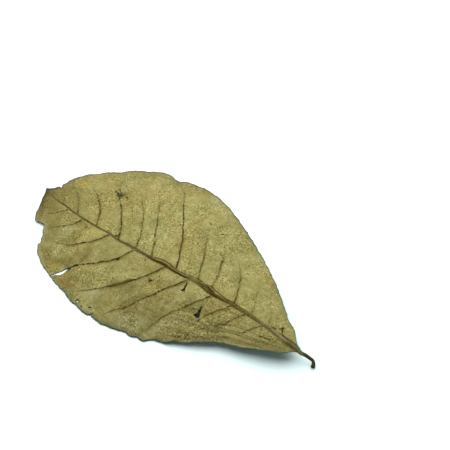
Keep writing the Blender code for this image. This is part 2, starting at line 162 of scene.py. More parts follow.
# waves of the blade: height at the edge, power of the share across, length along, shift between the
# halves, and drift with the share across; and the ripple of the left edge, its height and length
BLADE_WAVES = ((0.7, 2, 41.0, 0.13, 0.0), (0.35, 1.5, 17.5, 0.31, 0.8))
LEFT_RIPPLE = (0.7, 10.0)
# relief in mm, then shares of a rise, and the power that rounds the midrib
PUFF_BETWEEN_VEINS = 0.35
VEIN_WIDTH_AT_ROOT = 0.62
VEIN_THINNING = 0.28
STRONG_WRINKLE = 0.22
FINE_WRINKLE = 0.11
FAINT_WRINKLE = 0.06
VEIN_SHOWS_BELOW = 0.45
GROOVE_SHARE_OF_RISE = 0.25
RIB_ROUNDNESS = 1.4

# outlines of what is missing from the blade: the tear, the nick, the slot, the crack and the round holes
SPLIT = (
    (-52, 152.2), (-46.8, 151.5), (-44.6, 150.1), (-42.7, 149.3), (-40.1, 147.9), (-38, 147.3),
    (-36.6, 146.3), (-35.4, 144.4), (-35.8, 144), (-37.2, 145.2), (-38.8, 146), (-40.9, 146.1),
    (-42.9, 146.8), (-44.8, 149.1), (-47, 150.9), (-52, 151.4),
)
NICK = ((-57.5, 113.9), (-53.7, 112.9), (-50.9, 112.6), (-53.6, 111.9), (-57.5, 111.7))
SLOT = (
    (-13.2, 60.5), (-13.1, 59.9), (-16, 58.9), (-17.4, 58.4), (-19.2, 57.4), (-20.1, 58.4),
    (-19.9, 60.5), (-19.2, 61.3), (-18.1, 60.1), (-16.4, 60.3),
)
CRACK = (
    (-5.6, 77.9), (-5.7, 77.3), (-9, 76.1), (-10.6, 75.8), (-11.6, 76.5), (-11.3, 77.7), (-10.5, 77),
    (-9, 76.9),
)
HOLES = (
    (-50.3, 125.5, 0.9, 0.8),
    (-49.5, 116.3, 0.7, 0.8),
    (-52, 120.8, 0.4, 0.4),
)

# ---- fineness of the leaf's grid
VEIN_OFFSETS = (-1.3, -0.85, -0.5, -0.25, 0.0, 0.25, 0.5, 0.85, 1.3)
TIP_OFFSETS = (9.0, 7.0, 5.0, 3.6, 2.6, 1.7, 1.0, 0.5)
STALK_ROWS = 30
LEAST_STEP = 0.12
WIDEST_STEP = 1.25
BLADE_COLUMNS = 52
RIB_COLUMNS = 31
# how far beside a vein the rows' spacing is read, and how close points are one
VEIN_PROBE = 1.2
MERGE_WITHIN = 0.002
# a distance that stands for none near
FAR_OFF = 9.0
# how far down and up the cutter of the gaps reaches
CUTTER_HEIGHTS = (-4.0, 22.0)

# long lines of the midrib: strength, half-width, and the points they run through. Each point is a distance
# along the leaf and a place across it, -1 and 1 at the rib's feet and 1 more for each mm beyond. These dark
# lines are painted shade, in furrows that they also sink into the rib's top, at the rib's feet and on the
# blade beside it.
RIB_GROOVES_AND_SHADE = (
    (0.4, 0.5, ((13, 1.3), (19, 1.3))),
    (0.25, 0.2, ((13.5, 0.3), (19, 0.3))),
    (0.95, 0.22, ((7, 0.3), (9, 0.27), (13, 0.27), (14.5, 0.3))),
    (0.95, 0.55, ((-1, 1.25), (5, 1.15), (9, 1.2), (13, 1.25))),
    (0.55, 0.55, ((-1, -1.45), (4, -1.5), (10, -1.6))),
    (0.5, 0.3, ((22, 0.5), (27, 0.55), (34, 0.6), (43, 0.6))),
    (1, 0.18, ((43.5, 0.27), (50, 0.27), (54, 0.3))),
    (1, 0.34, ((43.5, 0.62), (48, 0.68), (53, 0.63), (56.5, 0.61))),
    (1, 0.26, ((56, 0.62), (60, 0.7), (63, 0.92), (66, 1.05), (67.5, 1.25))),
    (1, 0.24, ((60, -0.06), (64, 0.06), (66.7, 0.3), (70.3, 0.8), (73, 0.95))),
    (0.7, 0.13, ((61.3, -0.33), (65.3, -0.16), (68.9, -0.14), (72.5, -0.1))),
    (1, 0.48, ((70, 0.94), (73, 1.05), (76, 1.25))),
    (0.4, 0.5, ((76, 0.3), (80, 0.35))),
    (0.55, 0.55, ((76, 1.8), (87, 1.6))),
    (0.6, 0.35, ((56.5, -0.75), (60, -0.62), (63, -0.7))),
    (0.9, 0.26, ((79.5, -0.66), (86, -0.66), (92, -0.62), (95, -0.5))),
    (0.9, 0.36, ((94, -0.45), (100, -0.4), (104, -0.5), (107, -0.45))),
    (0.75, 0.15, ((81, 0.1), (85, 0.16), (89, 0.12), (94, 0.24))),
    (0.9, 0.42, ((90, 0.6), (95, 0.98), (98, 1.02), (103, 1.36), (105.5, 1.05), (107, 0.3))),
    (0.8, 0.66, ((106, -0.2), (110, 0.05), (115, 0.38), (120, 0.36), (135, 0.38))),
    (0.8, 0.8, ((105, 1.2), (112, 1.25), (118, 1.25), (126, 1.25), (134, 1.2))),
    (0.4, 0.5, ((122, 1.1), (134, 1.15), (142, 1))),
    (1, 0.72, ((135, 0.35), (150, 0.33), (165, 0.3))),
    (0.8, 0.75, ((163, 0.3), (186, 0.25))),
    (0.45, 0.8, ((184, 0.2), (198, 0.15))),
)
# pale lines of the midrib, in the same form: painted highlights along it and painted light on its near side,
# which lies in shade
RIB_PALE = (
    (0.35, 0.2, ((8, -0.25), (12, -0.25), (18, -0.1))),
    (0.5, 0.5, ((19, -0.85), (30, -0.8), (43, -0.75), (52, -0.85))),
    (0.62, 0.6, ((70, -1.1), (80, -1.2))),
    (0.5, 0.6, ((96, -1.35), (103, -1.4))),
    (0.98, 0.62, ((105, -1.3), (112, -1.15), (118, -1), (130, -1), (140, -1.05))),
    (0.72, 0.62, ((138, -1.08), (150, -1.08), (170, -1.05), (179, -1.05))),
    (0.35, 0.14, ((52, 0), (56, 0.02))),
    (0.5, 0.13, ((66, 0.04), (69.2, 0.24), (72.3, 0.36))),
    (0.95, 0.17, ((56.5, 0.06), (60, 0.14), (63, 0.24), (66, 0.42), (69, 0.62))),
    (0.4, 0.16, ((74, -0.1), (80, 0.2))),
    (0.35, 0.12, ((80, -0.16), (88, -0.18))),
    (0.35, 0.2, ((92, 0.1), (98, 0.3), (103, 0.2))),
)

# ---- the photograph's view: places in mm in the part's frame, the lens, and what is too near or too far
CAMERA_AT = (-302.4, -277.4, 567.4)
LOOKS_AT = (44.4, -1.35, 0.0)
LENS = 92.16
SENSOR_WIDTH = 36.0
CLIP_FROM = 0.01
CLIP_TO = 20.0

# ---- the surface and the light, in metres; the light comes from beyond the leaf and a little from the left
FLOOR_HALF = 4
FLOOR_DROP = 0.0001
FLOOR_COLOUR = (0.76, 0.90, 0.91, 1)
FLOOR_ROUGHNESS = 0.9
FLOOR_GLOSS = 0.1
AWAY_FROM_CAMERA = (0.7824, 0.6228, 0.0)
CAMERA_RIGHT = (0.6228, -0.7824, 0.0)
LIGHT_BEYOND = 0.62
LIGHT_LEFT = 0.15
LIGHT_HEIGHT = 1.05
LIGHT_SIZE = 2.4
LIGHT_POWER = 49.5
LIGHT_COLOUR = (1.0, 0.985, 0.96)
ROOM_COLOUR = (0.76, 0.95, 1.0, 1)
ROOM_STRENGTH = 0.22

# ---- colours, as they look in this light; the surface's own colour is each of them divided by LIT
LIT = 1.42
GROUND_WARM = (160, 148, 88)
GROUND_GREEN = (155, 150, 92)
GROUND_PALE = (180, 172, 117)
GROUND_DARK = (112, 102, 46)
GROUND_LEFT = (139, 129, 73)
TIP_BROWN = (120, 108, 56)
TIP_DARK = (84, 76, 50)
VEIN_BROWN = (66, 52, 4)
# the midrib's own tints, and the distances along the leaf where it has them
RIB_GREY_BROWN = (115, 104, 70)
RIB_BUFF = (158, 144, 100)
RIB_TAN = (135, 121, 75)
RIB_BROWN = (100, 87, 28)
RIB_KHAKI = (120, 108, 54)
RIB_COLOURS = (
    (0, RIB_GREY_BROWN), (6, RIB_GREY_BROWN), (11, RIB_BUFF), (17, RIB_TAN), (25, RIB_TAN),
    (31, RIB_BROWN), (71, RIB_BROWN), (76, RIB_KHAKI), (190, RIB_KHAKI),
)
RIB_LIGHT = (164, 150, 100)
RIB_LINE = (46, 34, 0)
STALK_PALE = (120, 115, 86)
STALK_DARK = (66, 59, 34)
CUT_END = (60, 52, 36)
RIM_DARK = (66, 66, 40)
RIM_SHADE = (88, 92, 66)
RIM_GREY = (152, 148, 112)
SPECK_DARK = (34, 24, 4)

# ---- the leaf's surface: its noises in bumps to the metre, its roughness, gloss and relief in metres
BROAD_NOISE = 34.0
MIDDLE_NOISE = 95.0
SMALL_NOISE = 330.0
GRAIN_NOISE = 1050.0
LEAF_ROUGHNESS = (0.66, 0.86)
LEAF_GLOSS = 0.06
RELIEF_STRENGTH = 0.7
RELIEF_DEPTH = 0.0003

# the tints of the blade's patches
PALE = (170, 161, 102)
PALE_GREY = (163, 159, 113)
PALE_YELLOW = (164, 156, 84)
FADED = (151, 142, 87)
DULL = (139, 129, 77)
SHADE = (119, 108, 58)
DARK = (101, 90, 44)
OCHRE = (138, 123, 54)
YELLOW = (158, 140, 54)
ORANGE = (164, 122, 54)
RUST = (124, 98, 46)
PINKISH = (142, 120, 70)
DARK_BROWN = (84, 64, 28)
GREENISH = (112, 106, 30)
# lilac of a spot of painted sheen
SHEEN_LILAC = (152, 136, 124)

# soft patches of the blade, partly its own mottling and partly painted shade and painted light: tint, middle x
# and y, reach along and across it, turn, strength
PATCHES = (
    (DARK, -17.2, 189.9, 15, 6, 0.44, 0.75),
    (DARK, -9.5, 186, 13, 9, -1.7, 0.4),
    (SHADE, 9, 188, 15, 7, -0.4, 0.45),
    (YELLOW, 17, 183, 10, 5.5, -0.82, 0.34),
    (ORANGE, 20.2, 183.4, 5, 3.2, -0.8, 0.28),
    (DULL, 27.6, 176.5, 9, 6, -0.8, 0.5),
    (DULL, 14.2, 148.6, 9, 7, -0.6, 0.5),
    (FADED, 54.7, 101.1, 9, 7, -1, 0.45),
    (PALE, -19.5, 151.4, 8, 6.5, -0.3, 0.5),
    (FADED, -17.2, 170.6, 9, 6, -0.2, 0.45),
    (PALE, -5.8, 130.5, 8, 6, -0.6, 0.5),
    (PALE_YELLOW, -7.5, 147, 11, 6.5, -0.62, 0.65),
    (SHADE, -24.5, 142.5, 8, 6, -0.13, 0.5),
    (OCHRE, -39.8, 153.8, 8.5, 7.5, -0.5, 0.55),
    (RUST, -46, 139.4, 8.5, 5.2, -1.6, 0.7),
    (DARK_BROWN, -49, 138, 2.6, 1.2, -1.4, 0.6),
    (DARK, -41.5, 137.4, 4, 2.6, -0.8, 0.5),
    (PALE, -44.3, 128.7, 9, 6, -0.9, 0.5),
    (PALE_GREY, -37.8, 120, 8, 5, -0.8, 0.45),
    (DARK, -30, 112, 10.5, 3.4, -0.73, 0.8),
    (SHADE, -29.6, 106.6, 6.5, 4, -0.94, 0.45),
    (PALE, -10.1, 94.8, 9, 6, -0.6, 0.45),
    (DARK, -29.1, 95, 12, 5.2, -0.57, 0.7),
    (SHADE, -35.5, 98.2, 8, 4.6, -0.59, 0.4),
    (PALE_GREY, -52.2, 121.6, 6, 4, -1.1, 0.45),
    (PALE_GREY, -46.4, 95, 9, 5.5, -0.9, 0.55),
    (PALE_GREY, -39.8, 85.1, 9, 6, -0.9, 0.5),
    (PALE_GREY, -35, 73, 10, 6, -0.6, 0.3),
    (DARK, -22, 79.2, 3.6, 2, -1.25, 0.7),
    (GREENISH, -17.5, 64, 4, 2, -1.35, 0.55),
    (PALE_GREY, -11.7, 77.9, 7, 4.5, -1, 0.5),
    (SHADE, -14, 65.4, 8, 6, -0.78, 0.35),
    (PINKISH, -25.9, 48.3, 8, 4, -1.02, 0.5),
    (PINKISH, -5.9, 51, 8, 4, -1.51, 0.45),
    (SHADE, -36, 62.4, 6, 4, -0.6, 0.45),
    (SHADE, -9.7, 18.9, 13, 5, -1.24, 0.15),
    (SHADE, -0.8, 12, 5, 3, -1.5, 0.4),
    (DARK, 2, 18.6, 3.4, 2.2, -1.2, 0.55),
    (PALE_GREY, 60.2, 105, 16, 6, -1.76, 0.5),
    (PALE, -25.4, 128, 12, 5, -0.74, 0.5),
    (FADED, 44, 156.5, 11, 5, -0.76, 0.45),
    (FADED, 11.5, 66.4, 8, 6, -1.1, 0.4),
    (FADED, 13.7, 83.6, 9, 6, -1, 0.5),
    (FADED, 30.2, 66, 9, 6, -1, 0.35),
    (DULL, 24, 92, 16, 5, -1, 0.3),
    # a small spot of painted sheen
    (SHEEN_LILAC, 1.2, 29.2, 1.6, 0.9, -1.3, 0.6),
    (PALE, -20.1, 108, 7, 4.5, -0.73, 0.5),
    (DULL, 15.5, 62, 8, 6, -1, 0.5),
    (PALE, 23.9, 53.5, 8, 6, -1, 0.55),
    (PALE, 5, 115.8, 8, 6, -0.8, 0.55),
    (SHADE, -39.2, 141.8, 7, 5, -0.9, 0.45),
    (PINKISH, 28.7, 153.2, 9, 7, -0.8, 0.4),
    (PALE, 36.1, 78.3, 9, 7, -1, 0.45),
    (PALE, -11.6, 150.3, 7, 5, -0.6, 0.4),
    (FADED, -11, 41, 9, 6, -1.3, 0.5),
    (FADED, -21.3, 40.3, 9, 5, -1.2, 0.45),
    (FADED, -11.7, 26, 9, 5, -1.3, 0.45),
    (PALE_YELLOW, -21.7, 92.7, 8, 5, -0.7, 0.45),
    (PALE, -8.4, 73, 8, 5, -0.8, 0.4),
    (PALE, 5.7, 54.3, 7, 5, -1, 0.5),
    (SHADE, -28.2, 102.8, 6, 4, -0.6, 0.45),
    (PINKISH, -3.3, 45.5, 6, 3.6, -1.4, 0.35),
    (PALE, -25.2, 118.2, 6, 4, -0.73, 0.5),
    (PALE, -34.1, 123.2, 6, 4, -0.73, 0.5),
    (DARK, -24.7, 108.2, 3, 2, -0.94, 0.45),
    (PALE_GREY, -48.8, 132.8, 5, 3, -1, 0.4),
    (DARK, -26, 141.2, 5.5, 2.4, 0, 0.75),
    (PALE, -9, 30.5, 9, 5.5, -1.3, 0.38),
    (PALE, -3.5, 35, 6, 1.8, -1.55, 0.6),
    (PALE, -4, 78, 5, 1.6, -1.4, 0.4),
    (DARK, -3, 6.5, 4.5, 1.3, -1.55, 0.5),
    (DARK, -9.9, 192.6, 11.5, 3, 0.52, 0.55),
    (DULL, -32.7, 94.2, 7, 5, -0.58, 0.45),
    (PALE_GREY, -43.4, 96.6, 7.5, 4, -1.24, 0.55),
    (PALE, -13.4, 48.7, 7, 4, -1.12, 0.45),
    (FADED, -21.8, 45, 8, 4, -1.05, 0.55),
    (FADED, -16.8, 35, 8, 4, -1.17, 0.55),
    (PALE, -16.6, 24.2, 7, 3, -1.16, 0.5),
    (SHADE, -7.9, 9.6, 5.5, 3.4, -1.39, 0.45),
    (PALE, -14.7, 125.1, 15, 6.5, -0.71, 0.42),
    (PALE, -11.4, 75.2, 7.5, 5.5, -0.3, 0.45),
    (PALE_GREY, -43.3, 124.8, 8, 6, -0.36, 0.35),
    (PALE_GREY, -16.8, 164.2, 9, 6.5, -0.42, 0.45),
    (DULL, 21.1, 168.7, 9, 6, -1.27, 0.35),
    (RUST, -11.6, 9.6, 8, 1.5, -1, 0.45),
    (DARK, -33.3, 92.2, 8, 5, -0.58, 0.5),
    (SHADE, -25.9, 87.6, 8.5, 5, -0.6, 0.5),
    (PALE, -24.4, 114.1, 9, 5.5, -0.75, 0.6),
    (PALE, -34.9, 120.9, 6.5, 5.5, -0.6, 0.6),
    (PALE, -16.2, 74.2, 6.5, 5, -0.6, 0.6),
    (SHADE, 13.6, 68.9, 10, 3.6, 0.44, 0.55),
    (SHADE, -5.9, 9, 7, 3.4, -1.39, 0.55),
    (PALE, -14.4, 36.9, 9, 4, -1.17, 0.5),
    (FADED, -19.7, 43, 8, 4.5, -1.05, 0.5),
    (PALE, -23.5, 50.2, 6, 3.6, -1.05, 0.5),
)
# small dark marks: middle x and y, reach along and across each, turn, strength
SPECKS = (
    (-16.4, 123.1, 1.7, 1.1, -0.8, 0.95),
    (-16.8, 96.7, 1.5, 1.3, -0.99, 0.95),
    (-3.4, 136, 1.5, 1, -1.8, 0.95),
    (-8.5, 156.1, 1.6, 0.6, 0.24, 0.8),
    (24.1, 156.8, 4.4, 3.6, -0.91, 0.6),
    (24.1, 157, 2.4, 1.8, -0.4, 0.75),
    (24.7, 160.6, 3, 0.9, -1.8, 0.75),
    (25, 152.4, 2.6, 0.8, -2.08, 0.75),
    (27.2, 160.2, 2.6, 0.7, 0.9, 0.7),
    (21, 155.4, 2.2, 0.7, 0.3, 0.65),
    (27.4, 155, 2.2, 0.6, -0.6, 0.6),
    (4.8, 14.9, 1.2, 0.8, 0.4, 1),
    (-23, 48, 0.7, 0.6, 0, 1),
    (-7.4, 108.6, 1.1, 0.5, 1.3, 0.6),
    (40.5, 96.3, 1.3, 0.5, -0.89, 0.8),
    (41.4, 97.4, 1.1, 0.45, 0.6, 0.7),
    (38.1, 85.8, 1.6, 0.5, -0.81, 0.75),
    (39.4, 84.4, 1.4, 0.5, -0.56, 0.7),
    (27.7, 110.8, 1.1, 0.7, -0.85, 0.75),
    (31.6, 60.2, 1.2, 0.7, -0.78, 0.5),
    (23.9, 68.2, 1.2, 0.6, -1.82, 0.55),
    (20.2, 71.9, 1.7, 1.1, -2.5, 0.6),
    (-34.2, 142.6, 3.6, 0.55, -0.98, 0.95),
    (-37.6, 145.2, 2.2, 0.6, 2.6, 0.8),
    (-0.6, 114.6, 3, 0.35, 1.4, 0.35),
    (-2, 126, 4.2, 0.35, 1.55, 0.35),
)
# thin dark strokes, partly the leaf's own dark marks and partly painted shade in its creases and folds:
# strength, half-width in mm, and the points they run through
DARK_STROKES = (
    (1, 0.7, ((1, 13), (4.8, 15))),
    (0.95, 0.6, ((4.8, 15), (2.2, 16.6), (0.9, 20.4))),
    (0.75, 1.1, ((-33, 115.6), (-27.4, 110.6), (-21, 105))),
    (0.6, 0.5, ((-13.9, 58.8), (-13.5, 54.6), (-13.2, 50.1), (-11.7, 46.1))),
    (0.35, 0.6, ((-19.1, 53), (-17.4, 50.4), (-15.8, 47.4))),
    (0.85, 0.65, ((-15.9, 46.4), (-14.4, 43.6), (-12.7, 40.8), (-12.4, 39.4))),
    (0.35, 0.6, ((-20.8, 51.7), (-17.3, 46.8))),
    (0.55, 0.55, ((-18.5, 45.3), (-16.6, 43.8), (-16.4, 42.1))),
    (0.7, 0.55, ((-23.8, 53.2), (-21.9, 50), (-21.2, 47.6), (-20.5, 45.3), (-19.1, 42.6))),
    (0.8, 0.55, ((-12.4, 32.3), (-10.5, 29.8))),
    (0.6, 0.55, ((-14.5, 34), (-14, 31.8))),
    (0.45, 0.5, ((-20.4, 40.2), (-18.3, 36.8))),
    (0.8, 0.6, ((-8.9, 23.5), (-7.9, 22), (-7.4, 20), (-6.4, 17.7), (-5.8, 16.1))),
    (0.5, 0.6, ((-19.4, 56.7), (-22.3, 56.5), (-24.8, 58.4), (-28.8, 60.8), (-33.9, 62.9))),
    (0.75, 0.5, ((-33.5, 57), (-31.4, 57.2), (-30.1, 56.7))),
    (0.55, 0.7, ((-34.9, 60.9), (-32.7, 59.9))),
    (0.5, 0.7, ((-36.8, 64.4), (-34.1, 64.5))),
    (0.6, 0.5, ((-12.9, 15.4), (-10.2, 11.2), (-7.2, 7))),
    (0.6, 0.7, ((-1.1, 95.5), (-0.9, 98), (-1.2, 101), (-1.7, 103.5), (-2.6, 106))),
    (0.42, 1.1, ((21.5, 72.9), (12.2, 67.4))),
    (0.3, 0.9, ((12.2, 67.4), (3.2, 64.3))),
    (0.42, 1.1, ((19.9, 84.5), (12.5, 79.9))),
    (0.35, 0.9, ((12.5, 79.9), (5.5, 76.9))),
    (0.75, 0.5, ((0.4, 67.1), (-0.2, 62.1))),
)


def smooth(at, knots, values):
    """Smooth curve through the values at the knots, read at each place asked for: between two knots a
    cubic that leaves and arrives with the slopes of the values there. Level past the ends."""
    knots = np.asarray(knots, float)
    values = np.asarray(values, float)
    slopes = np.gradient(values, knots, axis=0)
    at = np.clip(at, knots[0], knots[-1])
    i = np.clip(np.searchsorted(knots, at, side="right") - 1, 0, len(knots) - 2)
    step = knots[i + 1] - knots[i]
    u = (at - knots[i]) / step
    if values.ndim == 2:
        step = step[..., None]
        u = u[..., None]
    start = (1 + 2 * u) * (1 - u) ** 2 * values[i] + u * (1 - u) ** 2 * step * slopes[i]
    end = u**2 * (3 - 2 * u) * values[i + 1] - u**2 * (1 - u) * step * slopes[i + 1]
    return start + end


def ramp(x, low, high):
    """Goes smoothly from 0 at low to 1 at high: three times the square of the share of the way, less
    twice its cube."""
    u = np.clip((x - low) / (high - low), 0, 1)
    return u * u * (3 - 2 * u)


def edge_point(edge, share):
    """Point of an edge at a share of its length, with its small rags, seen from above."""
    edge = np.array(edge)
    step = np.hypot(*np.diff(edge, axis=0).T)
    length = step.sum()
    knots = np.r_[0.0, np.cumsum(step)] / length
    point = smooth(share, knots, edge)
    ahead = smooth(share + 0.004, knots, edge) - smooth(share - 0.004, knots, edge)
    away = np.stack([ahead[..., 1], -ahead[..., 0]], -1) / np.linalg.norm(ahead, axis=-1)[..., None]
    rag = sum(h * np.sin(2 * math.pi * share * length / w + p) for h, w, p in EDGE_RAGS)
    held = ramp(share, 0.02, 0.08) * ramp(1 - share, 0.0, 0.06)
    return point + (rag * held)[..., None] * away


def midrib_x(y):
    """Place across the leaf of the midrib's middle, at a distance along it."""
    return smooth(y, MIDRIB_AT, MIDRIB_X)


def level(x, y):
    """Height of the blade's underside over the surface at a place seen from above. It falls from the
    midrib's height to the edge's as a power of the share across, with waves that grow towards the edge,
    and is pressed flat at the spots that it rests on."""
    off = x - midrib_x(y)
    right = off > 0
    span = np.where(right, smooth(y, SPAN_AT, RIGHT_SPAN), smooth(y, SPAN_AT, LEFT_SPAN))
    edge = np.where(right, smooth(y, EDGE_AT, RIGHT_EDGE_HEIGHT), smooth(y, EDGE_AT, LEFT_EDGE_HEIGHT))
    s = np.clip(np.abs(off) / span, 0, 1.1)
    ridge = smooth(y, RIDGE_AT, RIDGE_HEIGHT)
    high = ridge + (edge - ridge) * s**1.6
    side = np.where(right, 1.0, -1.0)
    for height, power, length, shift, drift in BLADE_WAVES:
        high = high + height * s**power * np.sin(2 * math.pi * (y / length + shift * side + drift * s))
    height, length = LEFT_RIPPLE
    rippled = np.where(right, 0, ramp(y, 54, 62) * (1 - ramp(y, 86, 96)))
    high = high + height * rippled * s**5 * np.sin(2 * math.pi * y / length)
    high = np.maximum(high, LEAST_CLEARANCE)
    for cx, cy in REST_SPOTS:
        flat = REST_SPOT_FLAT_SHARE * REST_SPOT_RADIUS
        near = 1 - ramp(np.hypot(x - cx, y - cy), flat, REST_SPOT_RADIUS)
        high = high * (1 - near) - REST_SPOT_PRESS * near
    return np.maximum(high, 0)


def between_veins(along, veins):
    """0 on a side vein, 1 halfway between two."""
    roots = np.array([0.0] + [v[0] for v in veins] + [BLADE_LENGTH])
    i = np.clip(np.searchsorted(roots, along, side="right") - 1, 0, len(roots) - 2)
    return np.sin(math.pi * (along - roots[i]) / (roots[i + 1] - roots[i]))


def row_stations():
    """Distances along the leaf of its rows of points: close at each side vein, even elsewhere."""
    fixed = {0.0, BLADE_LENGTH}
    for root in {v[0] for v in RIGHT_VEINS + LEFT_VEINS}:
        fixed.update(round(root + offset, 3) for offset in VEIN_OFFSETS)
    fixed.update(np.round(np.linspace(STALK_END + 0.25, -0.4, STALK_ROWS), 3))
    fixed.update(BLADE_LENGTH - np.array(TIP_OFFSETS))
    fixed = {station for station in fixed if station <= BLADE_LENGTH}
    stations = sorted(fixed)
    stations = [a for a, b in zip(stations, stations[1:]) if b - a > LEAST_STEP] + [stations[-1]]
    rows = [STALK_END, STALK_END]
    for here, there in zip(stations, stations[1:]):
        parts = max(1, math.ceil((there - here) / WIDEST_STEP))
        rows += [here + (there - here) * k / parts for k in range(parts)]
    return np.array(rows + [stations[-1]])


def blade_rows(along, shares, side):
    """Places seen from above of one half's points. A row leaves the rib's side at its distance along the
    leaf and runs to the edge, bowed and swayed as the side veins next to it are."""
    edge, veins = (RIGHT_EDGE, RIGHT_VEINS) if side > 0 else (LEFT_EDGE, LEFT_VEINS)
    roots = [0.0] + [v[0] for v in veins] + [BLADE_LENGTH]
    ends = np.interp(along, roots, [0.0] + [v[1] for v in veins] + [1.0])
    bow = np.interp(along, roots, [0.0] + [v[2] for v in veins] + [0.0])[:, None]
    sway = np.interp(along, roots, [0.0] + [v[3] for v in veins] + [0.0])[:, None]
    half = smooth(along, RIB_AT, RIB_HALF_WIDTH)
    foot = np.stack([midrib_x(along) + side * half, along], 1)
    way = edge_point(edge, ends) - foot
    back = side * np.stack([way[:, 1], -way[:, 0]], 1)
    s = shares[None, :]
    bend = 4 * s * (1 - s) * bow + np.sin(2 * math.pi * s) * sway
    return foot[:, None] + way[:, None] * s[..., None] + back[:, None] * bend[..., None]


def vein_lines(along, shares, side):
    """For one half, at each point of the grid: the rise of the side veins, the distance in mm to the
    nearest one, and how dark it is there. A vein is a rounded ridge that wanders a little, and thins and
    sinks on its way out."""
    veins = RIGHT_VEINS if side > 0 else LEFT_VEINS
    darks = RIGHT_VEIN_DARK if side > 0 else LEFT_VEIN_DARK
    rise = np.zeros((len(along), len(shares)))
    nearest = np.full_like(rise, FAR_OFF)
    dark = np.zeros_like(rise)
    for (root, _end, _bow, _sway, height, shown), drawn in zip(veins, darks):
        line = blade_rows(np.array([root - VEIN_PROBE, root, root + VEIN_PROBE]), shares, side)
        heading = np.gradient(line[1], axis=0)
        heading = heading / np.maximum(np.linalg.norm(heading, axis=1), 1e-9)[:, None]
        gaps = []
        for other in (0, 2):
            apart = line[other] - line[1]
            gaps.append(np.abs(apart[:, 0] * heading[:, 1] - apart[:, 1] * heading[:, 0]) / VEIN_PROBE)
        off = along[:, None] - root
        reach = shares * np.linalg.norm(line[1, -1] - line[1, 0])
        wander = 0.20 * np.sin(reach / 2.7 + root) + 0.13 * np.sin(reach / 1.1 + 2.7 * root)
        wander = wander + 0.16 * np.sin(reach / 5.9 + 1.9 * root) * np.sin(reach / 1.7 + root)
        away = off * np.where(off < 0, gaps[0][None], gaps[1][None]) - wander * ramp(reach, 1.0, 4.0)
        fade = (1 - 0.5 * shares) * (1 - ramp(shares, shown - 0.2, shown + 0.05))
        width = VEIN_WIDTH_AT_ROOT - VEIN_THINNING * shares
        rise = np.maximum(rise, height * fade * np.exp(-((away / width) ** 2)))
        trail = drawn * (1 - 0.35 * shares) * (1 - ramp(shares, shown - 0.25, shown + 0.08))
        trail = trail + 0.3 * np.exp(-reach / 2.5) * drawn
        closer = np.abs(away) < np.abs(nearest)
        nearest = np.where(closer, away, nearest)
        dark = np.where(closer, trail[None], dark)
    return rise, nearest, dark


def wrinkles(along, shares, side):
    """Drying wrinkles in mm: strong ones that fan out from the foot beside the left edge, in waves of the
    share across that drift a little along the leaf, finer ones between them, and faint ones elsewhere."""
    faint = FAINT_WRINKLE * np.sin(along / 2.9 + 7 * shares + side) * np.sin(shares * 21 + along / 6.0)
    faint = faint * ramp(shares, 0.05, 0.2)
    if side > 0:
        return faint
    held = ramp(along, 5, 14) * (1 - ramp(along, 45, 76)) * ramp(shares, 0.15, 0.5)
    drift = 0.5 * np.sin(along / 8.0) + 0.35 * np.sin(along / 3.3 + 9 * shares)
    strong = STRONG_WRINKLE * held * np.sin(2 * math.pi * (shares - 0.44) / 0.27 + drift)
    fine_held = ramp(along, 5, 14) * (1 - ramp(along, 60, 96)) * ramp(shares, 0.2, 0.4)
    bent = 2.2 * np.sin(along / 6.1)
    fine = FINE_WRINKLE * fine_held * np.sin(2 * math.pi * shares / 0.09 + bent + along / 5.0)
    return faint + strong + fine


def rib_lines(lines, along, across):
    """Strength, 0 to 1, of the midrib's long lines: each is a rounded stripe through its points that sways
    a little and fades in and out at its ends."""
    sway = 0.05 * np.sin(along / 4.3) + 0.04 * np.sin(along / 1.7)
    drawn = np.zeros(np.broadcast(along, across).shape)
    for strength, width, points in lines:
        at, centre = np.array(points).T
        held = ramp(along, at[0] - 1.5, at[0] + 1.5) * (1 - ramp(along, at[-1] - 1.5, at[-1] + 1.5))
        off = across - np.interp(along, at, centre) - sway
        drawn = np.maximum(drawn, strength * held * np.exp(-((off / width) ** 2)))
    return drawn


